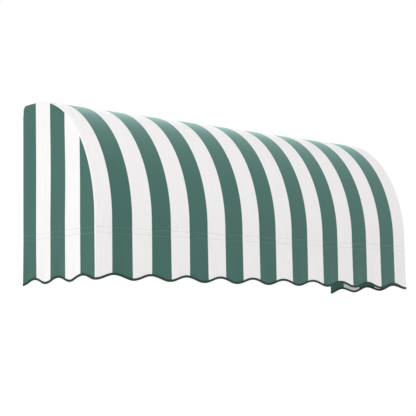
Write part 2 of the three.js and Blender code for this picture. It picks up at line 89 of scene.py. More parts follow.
# Shape of the cover's section and edge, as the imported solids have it
HEM = HEADER_LOW[2] + 2 * MM
SHOULDER = 25.5 * MM  # turn over the header
CURVE_START = 100 * MM  # depth where the level stretch ends
CURVE_DROP = 523 * MM  # height of the curve
SKIN = 1.5 * MM  # outside of the cover to the frame
SEAM = 2 * MM  # radius of the turned edge between front and ends
END_INSET = 0.3 * MM  # side of the front to the face of an end
BINDING = 10 * MM  # height of the binding
BINDING_HALF = 1.6 * MM  # middle of the cloth to the face of the binding
BINDING_PLY = 0.6 * MM
BINDING_PAST = 0.8 * MM  # how far the front's binding passes the sides
BINDING_SHORT = 1.9 * MM  # how far an end's binding stops short of the front
SCALLOP = EDGE_HIGH[2] - EDGE - BINDING
FRONT_SCALLOPS, END_SCALLOPS = 10, 3
FRONT_MIDDLE, END_MIDDLE = 9.5, 3.5  # stripes from the start of the pattern to the cloth's middle

# Pockets round the tubes
POCKET_CLOTH = 0.8 * MM
POCKET_SWELL, POCKET_WAVE = 0.5 * MM, 120 * MM  # height and length of the swell along a pocket
POCKET_CORNER = 1.8 * MM  # radius inside its corners
POCKET_GAP = 0.3 * MM  # tube to pocket
POCKET_LAP = 0.4 * MM  # how far a pocket's edges reach into the cloth

# How the cloth is sewn and how it hangs
SEW_MARGIN = 8 * MM  # closely spaced rows above and below the front rail
SEW_HEIGHTS = (RAIL_TOP + 1.7 * MM, RAIL_BOTTOM - 1.7 * MM)  # just above and below the tube
SEW_INSET = 6 * MM  # side of the cloth to the end of a row of stitches
BINDING_SEAM = 2.5 * MM  # upper edge of the binding to its stitches
GROOVE = (0.7 * MM, 2.2 * MM)  # depth and half width of the dip that a row of stitches pulls
STIFF_CORNER = 80 * MM  # distance from a corner within which the sway dies out
FRONT_SWAY, END_SWAY = 230 * MM, 190 * MM  # length of one sway
SECOND_SWAY = (0.45, 0.41, 1.1)  # height and length as shares of the first sway's, and phase

# Screws
BRACKET_PLATE = 4 * MM
HEADER_SCREWS = (20 * MM, 22 * MM)  # out from the wall, and to each side of the bracket's middle
FOOT_SCREWS = (15 * MM, 19 * MM)  # out from the wall, and above and below the bracket's middle
BAR_SCREWS = 15 * MM  # end of a clamp bar to its outermost screw

# Meshes, settings and sides
HANDS = (("left", -1), ("right", 1))
COLOUR = {"size": 3, "min": 0, "max": 1, "subtype": "COLOR"}
SHARP = math.radians(38)  # faces that meet at a larger angle have a hard edge
WELD = 1e-6  # points that are nearer than this become one

# Floor in metres: it goes over into white between two distances from a point under the awning
FLOOR_HALF, FLOOR_MIDDLE, FLOOR_POINTS = 9, -1, 15
FLOOR_LIFT = 0.15  # light that the floor seems to give
FADE_MIDDLE, FADE_START, FADE_END = -0.3, 3.0, 8.0

# Place of each lamp and the side of its square
LAMP_AIM = (0, -0.25, -0.3)
LAMPS = {
    "key": ((-8.2, -4.6, 2.6), 4.5),
    "fill": ((5.6, -5.4, 0.9), 4.0),
    "overhead": ((0.3, -0.5, 4.2), 3.2),
    "rear": ((4.5, 4.5, 3.4), 3.0),
}

# Camera found by fitting the outline, the stripes and the scallops; lens and sensor are in millimetres
CAMERA_PLACE = (-3.9338, -4.4435, -0.9884)
CAMERA_AHEAD, CAMERA_RIGHT = (0.66816, 0.73534, 0.11334), (0.74134, -0.6709, -0.01762)
CAMERA_LENS, CAMERA_SENSOR = 107.776, 36


class CoverSettings(PropertyGroup):
    """Cloth of the cover."""

    stripe: FloatProperty(
        name="Stripe", description="Width of one woven stripe", default=0.1034, min=0.01, unit="LENGTH")
    thickness: FloatProperty(
        name="Thickness", description="Thickness of the cloth", default=0.0009, min=0.0003, unit="LENGTH")
    slack: FloatProperty(
        name="Slack", description="How far the cloth sinks in between the bows", default=0.003, unit="LENGTH")
    ripple: FloatProperty(
        name="Ripple", description="How far the valance's free edge sways", default=0.0018, unit="LENGTH")
    green: FloatVectorProperty(
        name="Green", description="Dyed stripe", default=linear("#375f57"), **COLOUR)
    white: FloatVectorProperty(
        name="White", description="Pale stripe", default=linear("#f1efef"), **COLOUR)
    binding: FloatVectorProperty(
        name="Binding", description="Tape round the scalloped edge", default=linear("#16362a"), **COLOUR)


class SewingSettings(PropertyGroup):
    """Thread and stitches."""

    length: FloatProperty(
        name="Stitch", description="Thread seen in one stitch", default=0.0052, min=0.001, unit="LENGTH")
    gap: FloatProperty(
        name="Gap", description="Space between two stitches", default=0.0012, min=0, unit="LENGTH")
    thread: FloatProperty(
        name="Thread", description="Thickness of the thread", default=0.0008, min=0.0002, unit="LENGTH")
    colour: FloatVectorProperty(
        name="Colour", description="Thread of the rows along the rail", default=linear("#9dada6"), **COLOUR)


class MetalSettings(PropertyGroup):
    """Frame, connectors, brackets and screws."""

    aluminium: FloatVectorProperty(
        name="Aluminium", description="Extruded tubes", default=linear("#c9cbcc"), **COLOUR)
    nylon: FloatVectorProperty(
        name="Nylon", description="Moulded connectors", default=linear("#2b2d2f"), **COLOUR)
    zinc: FloatVectorProperty(
        name="Zinc", description="Plated brackets and screws", default=linear("#b4b9be"), **COLOUR)
    head: FloatProperty(
        name="Screw head", description="Hexagon across its flats", default=0.008, min=0.004, unit="LENGTH")


class StageSettings(PropertyGroup):
    """Floor and light."""

    floor: FloatProperty(
        name="Floor", description="Height of the floor", default=-2.2, unit="LENGTH")
    ambient: FloatProperty(
        name="Ambient", description="Strength of the light from all round", default=0.45, min=0)
    key: FloatProperty(
        name="Key", description="Large soft light at the left", default=540, min=0, unit="POWER")
    fill: FloatProperty(
        name="Fill", description="Soft light from the right", default=96, min=0, unit="POWER")
    overhead: FloatProperty(
        name="Overhead", description="Soft light from above", default=36, min=0, unit="POWER")
    rear: FloatProperty(
        name="Rear", description="Soft light from behind the wall's plane", default=80, min=0, unit="POWER")


def quads(rows, columns, close=False):
    """Faces of a grid, row by row; close joins its last column to its first."""
    r, c = np.meshgrid(np.arange(rows - 1), np.arange(columns if close else columns - 1), indexing="ij")
    r, c = r.ravel(), c.ravel()
    following = (c + 1) % columns
    return np.stack([r * columns + c, r * columns + following,
                     (r + 1) * columns + following, (r + 1) * columns + c], axis=1)


def shell(outer, inner):
    """A closed sheet: the outer grid, the inner grid facing the other way, and a strip round their rim."""
    rows, columns = outer.shape[:2]
    count = rows * columns
    number = np.arange(count).reshape(rows, columns)
    rim = np.concatenate([number[0, :-1], number[:-1, -1], number[-1, :0:-1], number[:0:-1, 0]])
    ahead = np.roll(rim, -1)
    face = quads(rows, columns)
    side = np.stack([ahead, rim, rim + count, ahead + count], axis=1)
    points = np.concatenate([outer.reshape(-1, 3), inner.reshape(-1, 3)])
    return points, np.concatenate([face, face[:, ::-1] + count, side])


def band(path, across, up, outer, inner):
    """A strip of even thickness carried along a path.

    Each point is the path's, plus a times across, plus b times up. (a, b) runs along the strip's outer line
    and back along its inner line; the two ends are closed.
    """
    line = np.concatenate([outer, inner[..., ::-1, :]], axis=-2)
    line = np.broadcast_to(line, (len(path),) + line.shape[-2:])
    points = path[:, None] + line[..., :1] * across[:, None] + line[..., 1:] * up[:, None]
    rows, loop = points.shape[:2]
    i = np.arange(loop // 2 - 1)
    start = np.stack([i + 1, i, loop - 1 - i, loop - 2 - i], axis=1)
    faces = np.concatenate([quads(rows, loop, close=True), start, start[:, ::-1] + (rows - 1) * loop])
    return points.reshape(-1, 3), faces


def several(shapes):
    """One set of points and faces from a list of them."""
    points, faces, count = [], [], 0
    for shape_points, shape_faces in shapes:
        points.append(shape_points)
        faces.append(shape_faces + count)
        count += len(shape_points)
    return np.concatenate(points), np.concatenate(faces)


def piece(name, points, faces, replaces, slot, material, uv=None, merge=False):
    """A mesh object at the origin that rides on the frame.

    The faces are turned outward: the signed volume is the sum of p0 . (p1 x p2) / 6 over all triangles, and
    where it is negative every face is reversed.
    """
    a, b, c, d = (points[faces[:, i]] for i in range(4))
    volume = np.sum(a * np.cross(b, c)) + np.sum(a * np.cross(c, d))
    if volume < 0:
        faces = faces[:, ::-1]
    mesh = bpy.data.meshes.new(name)
    mesh.vertices.add(len(points))
    mesh.vertices.foreach_set("co", np.ascontiguousarray(points, np.float32).ravel())
    mesh.loops.add(faces.size)
    mesh.loops.foreach_set("vertex_index", np.ascontiguousarray(faces, np.int32).ravel())
    mesh.polygons.add(len(faces))
    mesh.polygons.foreach_set("loop_start", np.arange(0, faces.size, 4, dtype=np.int32))
    mesh.polygons.foreach_set("use_smooth", np.ones(len(faces), bool))
    mesh.update(calc_edges=True)
    if uv is not None:
        layer = mesh.uv_layers.new(name="cloth")
        layer.data.foreach_set("uv", np.ascontiguousarray(uv[faces.ravel()], np.float32).ravel())
    if merge:
        whole = bmesh.new()
        whole.from_mesh(mesh)
        bmesh.ops.remove_doubles(whole, verts=whole.verts, dist=WELD)
        whole.to_mesh(mesh)
        whole.free()
    mesh.set_sharp_from_angle(angle=SHARP)
    mesh.validate()
    mesh.materials.append(material)
    made = bpy.data.objects.new(name, mesh)
    bpy.context.scene.collection.objects.link(made)
    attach(made, "root")
    if replaces:
        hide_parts(*replaces)
    return made


def scallop(place, span, count):
    """Height of the valance's lower edge: a cosine wave of count scallops, lowest at both ends."""
    return EDGE + 0.5 * SCALLOP * (1 - np.cos(2 * np.pi * count * place / span))


def hang(place, height, from_corner, wave, cover):
    """How far hanging cloth lies behind its plane.

    Two narrow bell-shaped dips under the rows of stitches, and below the rail a sum of two sines along the
    cloth that grows with the drop to the power 1.5 and dies out towards a corner.
    """
    depth, width = GROOVE
    dips = sum(depth * np.exp(-((height - row) / width) ** 2) for row in SEW_HEIGHTS)
    drop = np.clip((RAIL_BOTTOM - height) / (RAIL_BOTTOM - EDGE), 0, 1) ** 1.5
    free = np.clip(from_corner / STIFF_CORNER, 0, 1)
    free = free * free * (3 - 2 * free)
    rise, run, phase = SECOND_SWAY
    sway = np.sin(2 * np.pi * place / wave) + rise * np.sin(2 * np.pi * place / (run * wave) + phase)
    return dips + cover.ripple * drop * free * sway


def front_hang(x, height, cover):
    """hang() for the front of the cover."""
    return hang(x + HALF, height, HALF - np.abs(x), FRONT_SWAY, cover)


def end_hang(depth, height, cover):
    """hang() for an end of the cover, counted from the front corner."""
    return hang(REACH - depth, height, REACH - depth, END_SWAY, cover)


def sewn_rows():
    """Heights of the closely spaced rows where the cloth is sewn along the rail."""
    return np.linspace(RAIL_TOP + SEW_MARGIN, RAIL_BOTTOM - SEW_MARGIN, 31)


def front_cloth(cover):
    """The front of the cover on a grid of rows down the cloth and columns across it.

    Seen from the end, the rows go straight up at the wall, round a quarter circle over the header, along a
    level stretch, down a quarter ellipse and straight down to the scalloped edge. At both sides the cloth
    turns in round a quarter circle. Between the bows it sinks in by slack times sin squared across the bay
    times sin squared along the curve. Gives the outer grid, the inner grid and each point's place on the flat
    cloth.
    """
    turn = np.linspace(0, np.pi / 2, 5)[1:]
    middle = np.linspace(-1, 1, FRONT_SCALLOPS * 20 + 1) * (HALF - SEAM)
    side = HALF - SEAM + SEAM * np.sin(turn)
    x = np.concatenate([-side[::-1], middle, side])
    fold = SEAM * (1 - np.cos(turn))
    fold = np.concatenate([fold[::-1], np.zeros(len(middle)), fold])

    rise = np.linspace(HEM, TOP - SHOULDER, 4)[:-1]
    bend = np.linspace(0, np.pi / 2, 9)[:-1]
    level = np.linspace(BACK + SHOULDER, CURVE_START, 6)[:-1]
    curve = np.linspace(0, np.pi / 2, 57)[:-1]
    sewn = sewn_rows()
    drop = np.linspace(TOP - CURVE_DROP, sewn[0], 4)[:-1]
    share = np.linspace(0, 1, 23)[1:]
    edge = scallop(x + HALF, 2 * HALF, FRONT_SCALLOPS) + BINDING_PLY
    upper = np.concatenate([rise, TOP - SHOULDER + SHOULDER * np.sin(bend), np.full(len(level), TOP),
                            TOP - CURVE_DROP * (1 - np.cos(curve)), drop, sewn])
    height = np.concatenate([np.repeat(upper[:, None], len(x), axis=1),
                             sewn[-1] + share[:, None] * (edge - sewn[-1])])
    face = np.full(len(drop) + len(sewn) + len(share), REACH)
    depth = np.concatenate([np.full(len(rise), BACK), BACK + SHOULDER * (1 - np.cos(bend)), level,
                            CURVE_START + (REACH - CURVE_START) * np.sin(curve), face])[:, None]
    steep = np.arctan2(np.sin(curve) * CURVE_DROP, np.cos(curve) * (REACH - CURVE_START))
    lean = np.concatenate([np.full(len(rise), -np.pi / 2), bend - np.pi / 2, np.zeros(len(level)), steep,
                           np.full(len(face), np.pi / 2)])[:, None]

    step = np.hypot(np.diff(depth, axis=0), np.diff(height, axis=0))
    along = np.concatenate([np.zeros((1, len(x))), np.cumsum(step, axis=0)])
    first, last = len(rise) + len(bend), len(upper) - len(sewn)
    way = np.clip((along[:, :1] - along[first, 0]) / (along[last, 0] - along[first, 0]), 0, 1)
    sink = fold + cover.slack * np.sin(np.pi * x / HALF) ** 2 * np.sin(np.pi * way) ** 2
    sink = sink + front_hang(x, height, cover)

    def layer(inset):
        behind = sink + inset
        grid = [np.broadcast_to(x, height.shape), behind * np.sin(lean) - depth,
                height - behind * np.cos(lean)]
        return np.stack(grid, axis=2)

    flat = np.stack([np.broadcast_to(x + FRONT_MIDDLE * cover.stripe, height.shape), along], axis=2)
    return layer(0), layer(cover.thickness), flat


def end_cloth(side, cover):
    """One end of the cover on a grid of rows down the cloth and columns out from the wall.

    The upper edge follows the front's section one skin further in: a quarter circle, a level stretch and a
    quarter ellipse. The lower edge is scalloped. The middle sinks in by slack times sin squared out from the
    wall times sin squared down the panel. Gives the outer grid, the inner grid and each point's place on the
    flat cloth.
    """
    bend = np.linspace(0, np.pi / 2, 9)[:-1]
    level = np.linspace(BACK + SHOULDER, CURVE_START, 9)[:-1]
    curve = np.linspace(0, np.pi / 2, 61)
    radius = SHOULDER - SKIN
    depth = np.concatenate([[BACK], BACK + SHOULDER - radius * np.cos(bend), level,
                            CURVE_START + (REACH - SKIN - CURVE_START) * np.sin(curve)])
    upper = np.concatenate([[HEADER_LOW[2]], TOP - SHOULDER + radius * np.sin(bend),
                            np.full(len(level), TOP - SKIN),
                            TOP - SKIN - (CURVE_DROP - SKIN) * (1 - np.cos(curve))])
    sewn = sewn_rows()
    share = np.linspace(0, 1, 25)[:-1, None]
    hung = np.linspace(0, 1, 23)[1:, None]
    edge = scallop(depth, REACH, END_SCALLOPS) + BINDING_PLY
    height = np.concatenate([upper + share * (sewn[0] - upper), np.repeat(sewn[:, None], len(depth), axis=1),
                             sewn[-1] + hung * (edge - sewn[-1])])
    way = np.concatenate([share, np.ones((len(sewn) + len(hung), 1))])
    sink = cover.slack * np.sin(np.pi * depth / REACH) ** 2 * np.sin(np.pi * way) ** 2
    sink = sink + end_hang(depth, height, cover) + END_INSET

    def layer(inset):
        grid = [side * (HALF - sink - inset), np.broadcast_to(-depth, height.shape), height]
        return np.stack(grid, axis=2)

    across = depth - 0.5 * REACH + END_MIDDLE * cover.stripe
    flat = np.stack([np.broadcast_to(across, height.shape), TOP - height], axis=2)
    return layer(0), layer(cover.thickness), flat


def hem_flap(side, cover):
    """The hem turned in behind an upright: a quarter circle at the end panel and a flat strip."""
    rows, run = 12, 5  # points up the strip, and along its flat part
    turn = np.linspace(0, np.pi / 2, 6)
    x = np.concatenate([HALF - END_INSET - SEAM * (1 - np.cos(turn)),
                        np.linspace(HALF - 2 * SEAM, FLAP_LOW[0], run)])
    away = np.concatenate([SEAM * (1 - np.sin(turn)), np.zeros(run)])
    height = np.linspace(RAIL_BOTTOM, HEADER_LOW[2], rows)[:, None]
    inset = np.concatenate([cover.thickness * np.cos(turn), np.zeros(run)])
    back = np.concatenate([cover.thickness * np.sin(turn), np.full(run, cover.thickness)])

    def grid(*lines):
        return np.stack([np.broadcast_to(line, (rows, len(x))) for line in lines], axis=2)

    outer = grid(side * x, -BACK - away, height)
    inner = outer - grid(side * inset, back, 0.0)
    flat = grid(x - HALF - 0.5 * REACH + END_MIDDLE * cover.stripe, TOP - height)
    return outer, inner, flat


def binding_lines():
    """Outer and inner line of folded tape: a straight leg, a half circle and a straight leg."""
    turn = np.linspace(0, np.pi, 9)

    def line(radius):
        bottom = np.stack([radius * np.cos(turn), BINDING_HALF - radius * np.sin(turn)], axis=1)
        return np.concatenate([[[radius, BINDING]], bottom, [[-radius, BINDING]]])

    return line(BINDING_HALF), line(BINDING_HALF - BINDING_PLY)


def front_edge(cover):
    """Path of the binding along the front, in the middle of the swaying cloth, with directions."""
    x = np.linspace(-HALF - BINDING_PAST, HALF + BINDING_PAST, FRONT_SCALLOPS * 24 + 1)
    height = scallop(x + HALF, 2 * HALF, FRONT_SCALLOPS)
    back = front_hang(x, height, cover) + 0.5 * cover.thickness
    path = np.stack([x, back - REACH, height], axis=1)
    return path, np.tile([0.0, -1.0, 0.0], (len(x), 1))


def end_edge(side, cover):
    """Path of the binding along one end, from the wall to the front corner, with directions."""
    depth = np.linspace(BACK, REACH - BINDING_SHORT, END_SCALLOPS * 24 + 1)
    height = scallop(depth, REACH, END_SCALLOPS)
    back = end_hang(depth, height, cover) + END_INSET + 0.5 * cover.thickness
    path = np.stack([side * (HALF - back), -depth, height], axis=1)
    return path, np.tile([float(side), 0.0, 0.0], (len(depth), 1))


def upward(path, across):
    """Direction up from a path, square to it and to the across direction."""
    ahead = np.gradient(path, axis=0)
    up = np.cross(across, ahead)
    up = up / np.linalg.norm(up, axis=1, keepdims=True)
    return up * np.sign(up[:, 2:])


def lengths(path):
    """Distance along a path at each of its points."""
    return np.concatenate([[0], np.cumsum(np.linalg.norm(np.diff(path, axis=0), axis=1))])


def stitches(path, across, sewing):
    """Stitches laid end to end on a path.

    One stitch is four rings of six points about its line, narrow at the tips: ring radius is half the thread
    times sin to the power 0.6 from tip to tip. Copies are spread evenly by distance and turned along the
    path.
    """
    far = lengths(path)
    count = max(1, int(far[-1] / (sewing.length + sewing.gap)))
    at = (np.arange(count) + 0.5) * far[-1] / count

    def along(values, place):
        return np.stack([np.interp(place, far, values[:, i]) for i in range(3)], axis=1)

    ahead = along(path, at + MM) - along(path, at - MM)
    ahead /= np.linalg.norm(ahead, axis=1, keepdims=True)
    out = along(across, at)
    ways = (ahead, out, np.cross(ahead, out))

    tip = np.linspace(0.12, 0.88, 4)[:, None] * np.pi
    angle = np.arange(6) * np.pi / 3
    radius = 0.5 * sewing.thread * np.sin(tip) ** 0.6
    shape = np.stack(np.broadcast_arrays(-0.5 * sewing.length * np.cos(tip), radius * np.cos(angle),
                                         radius * np.sin(angle)), axis=2).reshape(-1, 3)
    caps = np.array([[3, 2, 1, 0], [5, 4, 3, 0], [18, 19, 20, 21], [18, 21, 22, 23]])
    faces = np.concatenate([quads(4, 6, close=True), caps])
    spot = along(path, at)
    points = spot[:, None] + sum(shape[None, :, i:i + 1] * way[:, None] for i, way in enumerate(ways))
    return points.reshape(-1, 3), (faces[None] + len(shape) * np.arange(count)[:, None, None]).reshape(-1, 4)


def sleeve_lines(swell, thickness):
    """Outer and inner line of a pocket round a square tube.

    They run across the top, round a quarter circle, down the far side, round a quarter circle and back along
    the bottom. swell, one value a station, moves them outward.
    """
    turn = np.linspace(np.pi / 2, 0, 5)
    inward = POCKET_CORNER - POCKET_GAP
    far, top, bottom = RAIL_TOP - RAIL_BOTTOM + POCKET_GAP - inward, RAIL_TOP - inward, RAIL_BOTTOM + inward

    def line(offset):
        reach = POCKET_CORNER + offset
        a = [np.full_like(reach, -POCKET_LAP), np.full_like(reach, 0.5 * far)]
        b = [top + reach, top + reach]
        a += [far + reach * np.cos(t) for t in turn] + [far + reach * np.cos(t) for t in turn[::-1]]
        b += [top + reach * np.sin(t) for t in turn] + [bottom - reach * np.sin(t) for t in turn[::-1]]
        a += [np.full_like(reach, 0.5 * far), np.full_like(reach, -POCKET_LAP)]
        b += [bottom - reach, bottom - reach]
        return np.stack([np.stack(a, axis=1), np.stack(b, axis=1)], axis=2)

    return line(swell + thickness), line(swell)


def turned_head(rows, sides=24):
    """A screw head: rings of (radius, height) about its axis, where a ring marked as hexagon takes the radius
    half-width / cos(angle from the nearest flat's middle) instead of a constant one.
    """
    angle = np.arange(sides) * 2 * np.pi / sides
    hexagon = 1 / np.cos((angle + np.pi / 6) % (np.pi / 3) - np.pi / 6)
    rings = [np.stack([r * k * np.cos(angle), r * k * np.sin(angle), np.full(sides, h)], axis=1)
             for r, h, six in rows for k in [hexagon if six else np.ones(sides)]]
    return np.concatenate(rings), quads(len(rows), sides, close=True)


def placed(shape, centre, axis):
    """A head moved to a centre with its axis turned along the given one."""
    points, faces = shape
    axis = np.array(axis, float)
    first = np.cross(axis, (0.3, 0.5, 0.8))  # any direction that isn't the axis will do
    first /= np.linalg.norm(first)
    turned = points @ np.stack([first, np.cross(axis, first), axis])
    return turned + np.array(centre), faces


def add(tree, kind, inputs=(), **settings):
    """Adds a node, its settings and then its inputs: a socket is linked, anything else is the value."""
    node = tree.nodes.new(kind)
    for key, value in settings.items():
        setattr(node, key, value)
    for key, value in dict(inputs).items():
        if isinstance(value, bpy.types.NodeSocket):
            tree.links.new(value, node.inputs[key])
        else:
            node.inputs[key].default_value = value
    return node


def empty_material(name):
    """A new material without nodes, and its tree."""
    made = bpy.data.materials.new(name)
    made.use_nodes = True
    made.node_tree.nodes.clear()
    return made, made.node_tree


def own_place(tree):
    """Place on the object in metres."""
    return add(tree, "ShaderNodeTexCoord").outputs["Object"]


def calc(tree, operation, *values):
    """Result of a maths node on sockets and numbers."""
    return add(tree, "ShaderNodeMath", dict(enumerate(values)), operation=operation).outputs[0]


def tone(colour, share=1.0):
    """A colour times a share, at most 1 in each channel, with full alpha."""
    return (*(min(1, share * channel) for channel in colour), 1)


def between(tree, share, first, second):
    """The first colour where the share is 0, the second where it is 1, and mixtures in between."""
    return add(tree, "ShaderNodeMix", {0: share, 6: first, 7: second}, data_type="RGBA").outputs[2]


def spread(tree, value, low, high, start=0.0, end=1.0):
    """A value from start to end laid out evenly from low to high."""
    return add(tree, "ShaderNodeMapRange", {0: value, 1: start, 2: end, 3: low, 4: high}).outputs[0]


def stretched(tree, place, sizes):
    """A place measured in the given sizes along its three axes."""
    scale = tuple(1 / size for size in sizes)
    return add(tree, "ShaderNodeMapping", {"Vector": place, "Scale": scale}).outputs[0]


def noise(tree, place, size, detail, distortion=0.0):
    """Clouds of about the given size, from 0 to 1."""
    return add(tree, "ShaderNodeTexNoise", {
        "Vector": place, "Scale": 1 / size, "Detail": detail, "Distortion": distortion}).outputs[0]


def waves(tree, place, pitch, axis, distortion=0.0):
    """Even waves along an axis, from 0 to 1. At scale 1 the texture's own pitch is 0.314."""
    return add(tree, "ShaderNodeTexWave", {
        "Vector": place, "Scale": 0.314 / pitch, "Distortion": distortion}, bands_direction=axis).outputs[1]


def relief(tree, height, strength, depth):
    """Normal of a surface that a height from 0 to 1 makes uneven."""
    return add(tree, "ShaderNodeBump", {"Strength": strength, "Distance": depth, "Height": height}).outputs[0]


def coat(tree, inputs):
    """Gives a material its surface, a principled one with these inputs."""
    surface = add(tree, "ShaderNodeBsdfPrincipled", inputs).outputs[0]
    add(tree, "ShaderNodeOutputMaterial", {"Surface": surface})


def finish(recipe, *given):
    """The material that a recipe makes, made only once for the same values."""
    key = "_".join([recipe.__name__] + [value for value in given if isinstance(value, str)])
    return bpy.data.materials.get(key) or recipe(key, *given)


def seen_directly(tree):
    """1 for what the camera sees, straight or in metal or glass, and 0 for light on its way."""
    ray = add(tree, "ShaderNodeLightPath").outputs
    shiny = calc(tree, "MAXIMUM", ray["Is Camera Ray"], ray["Is Glossy Ray"])
    return calc(tree, "MAXIMUM", shiny, ray["Is Transmission Ray"])


def striped_acrylic_canvas(name, cover):
    """Yarn-dyed acrylic, plain weave, with a water-repellent finish.

    Broad even stripes with sharp edges; slubs make faint streaks along the warp, and the fibre ends give a
    soft pale sheen where the cloth is seen edge on.
    """
    made, tree = empty_material(name)
    flat = add(tree, "ShaderNodeUVMap", uv_map="cloth").outputs["UV"]
    across = add(tree, "ShaderNodeSeparateXYZ", {"Vector": flat}).outputs["X"]
    repeat = calc(tree, "FRACT", calc(tree, "MULTIPLY", across, 0.5 / cover.stripe))
    dyed = calc(tree, "GREATER_THAN", repeat, 0.5)
    colour = between(tree, dyed, tone(cover.white), tone(cover.green))
    # Slubs are about 1 mm wide and 60 mm long; drawn 5 mm wide and 160 mm long so that they show
    slub = noise(tree, stretched(tree, flat, (5 * MM, 160 * MM, 1)), 1, 3)
    value = spread(tree, slub, 0.955, 1.025, 0.25, 0.75)
    shade = add(tree, "ShaderNodeHueSaturation", {"Color": colour, "Value": value}).outputs[0]
    # Threads lie 0.6 mm apart; drawn at 2.4 mm so that the weave can be seen at all
    weave = calc(tree, "ADD", *(waves(tree, flat, 2.4 * MM, axis) for axis in "YX"))
    # Fibre ends stand out as a pale bloom on the dyed yarn; white yarn is as pale as they are
    bloom = spread(tree, dyed, 0.0, 0.75)
    coat(tree, {
        "Base Color": shade, "Roughness": spread(tree, slub, 0.5, 0.66), "IOR": 1.49,
        "Normal": relief(tree, weave, 0.25, 0.3 * MM), "Specular IOR Level": 0.2, "Sheen Weight": bloom,
        "Sheen Roughness": 0.42, "Sheen Tint": (0.6, 1, 0.92, 1)})
    return made


def plain_acrylic_canvas(name, cover):
    """Undyed acrylic canvas of the pockets: off-white, dull, with a faint uneven weave."""
    made, tree = empty_material(name)
    place = own_place(tree)
    # Threads lie 0.6 mm apart; the unevenness that the eye sees is drawn at about 6 mm
    cloud = noise(tree, place, 6 * MM, 4)
    coat(tree, {
        "Base Color": between(tree, cloud, tone(cover.white, 0.80), tone(cover.white, 0.95)),
        "Roughness": spread(tree, cloud, 0.7, 0.85), "IOR": 1.49,
        "Normal": relief(tree, cloud, 0.3, 0.4 * MM), "Sheen Weight": 0.15, "Sheen Roughness": 0.5})
    return made


def woven_polyester_tape(name, cover):
    """Woven polyester binding tape: dark green, ribbed across its length, a little glossier than canvas."""
    made, tree = empty_material(name)
    flat = add(tree, "ShaderNodeUVMap", uv_map="cloth").outputs["UV"]
    # Ribs are 0.8 mm apart; drawn at 2.5 mm so that they show
    rib_height_and_shade = waves(tree, flat, 2.5 * MM, "X", 1.0)
    coat(tree, {
        # The colour follows the ribs' height: painted shade in their troughs and painted highlight on their
        # crests
        "Base Color": between(tree, rib_height_and_shade, tone(cover.binding, 0.75), tone(cover.binding, 1.2)),
        "Roughness": spread(tree, rib_height_and_shade, 0.6, 0.45), "IOR": 1.55, "Normal": relief(tree, rib_height_and_shade, 0.5, 0.4 * MM),
        "Specular IOR Level": 0.2})
    return made


def spun_polyester_thread(name, row, colour):
    """Spun polyester sewing thread: matt, with painted shade in the dips between its twisted strands.

    row says where it is sewn, so that each row's thread is a material of its own.
    """
    made, tree = empty_material(name)
    place = own_place(tree)
    ply_dip_shade = noise(tree, place, 1.2 * MM, 2)
    coat(tree, {
        # Painted shade: the colour is darker where the noise stands for the dips between the strands
        "Base Color": between(tree, ply_dip_shade, tone(colour, 0.8), tone(colour, 1.1)),
        "Roughness": spread(tree, ply_dip_shade, 0.6, 0.75), "IOR": 1.55, "Specular IOR Level": 0.2})
    return made


def mill_finish_aluminium(name, run, metal):
    """Extruded aluminium as it leaves the press: pale, half matt, with fine die lines along its run.

    run is the axis that the piece runs along, or bow for one bent in the plane of Y and Z.
    """
    made, tree = empty_material(name)
    place = own_place(tree)
    # Die lines are a few tenths of a millimetre wide; drawn at 2 mm so that they show
    fine, long = 2 * MM, 500 * MM
    sizes = {"x": (long, fine, fine), "y": (fine, long, fine), "z": (fine, fine, long),
             "bow": (fine, long, long)}
    die = noise(tree, stretched(tree, place, sizes[run]), 1, 4)
    # Handling and air leave soft clouds some 60 mm across
    cloud = noise(tree, place, 60 * MM, 3)
    coat(tree, {
        "Base Color": between(tree, cloud, tone(metal.aluminium, 0.84), tone(metal.aluminium)),
        "Metallic": 1.0, "Roughness": spread(tree, die, 0.32, 0.48, 0.3, 0.7),
        "Normal": relief(tree, die, 0.12, 0.15 * MM)})
    return made


def moulded_nylon(name, metal):
    """Glass-filled nylon, injection moulded: near black, with a fine grain and faint pale flow marks."""
    made, tree = empty_material(name)
    place = own_place(tree)
    # The grain of the mould is about 0.1 mm; drawn at 0.8 mm so that it shows
    grain = noise(tree, place, 0.8 * MM, 2)
    flow = noise(tree, place, 12 * MM, 5, 0.6)
    coat(tree, {
        "Base Color": between(tree, flow, tone(metal.nylon, 0.75), tone(metal.nylon, 1.35)),
        "Roughness": spread(tree, flow, 0.45, 0.62), "IOR": 1.53,
        "Normal": relief(tree, grain, 0.25, 0.1 * MM)})
    return made


def zinc_plated_steel(name, metal):
    """Pressed steel with clear-passivated zinc: bluish silver, with soft clouds and fine handling marks."""
    made, tree = empty_material(name)
    place = own_place(tree)
    # Plating clouds are some 9 mm across, and the marks are drawn about 1.5 mm apart
    cloud = noise(tree, place, 9 * MM, 4)
    marks = noise(tree, place, 1.5 * MM, 3)
    coat(tree, {
        "Base Color": between(tree, cloud, tone(metal.zinc, 0.78), tone(metal.zinc, 1.08)), "Metallic": 1.0,
        "Roughness": spread(tree, cloud, 0.3, 0.46, 0.3, 0.7), "Normal": relief(tree, marks, 0.15, 0.1 * MM)})
    return made


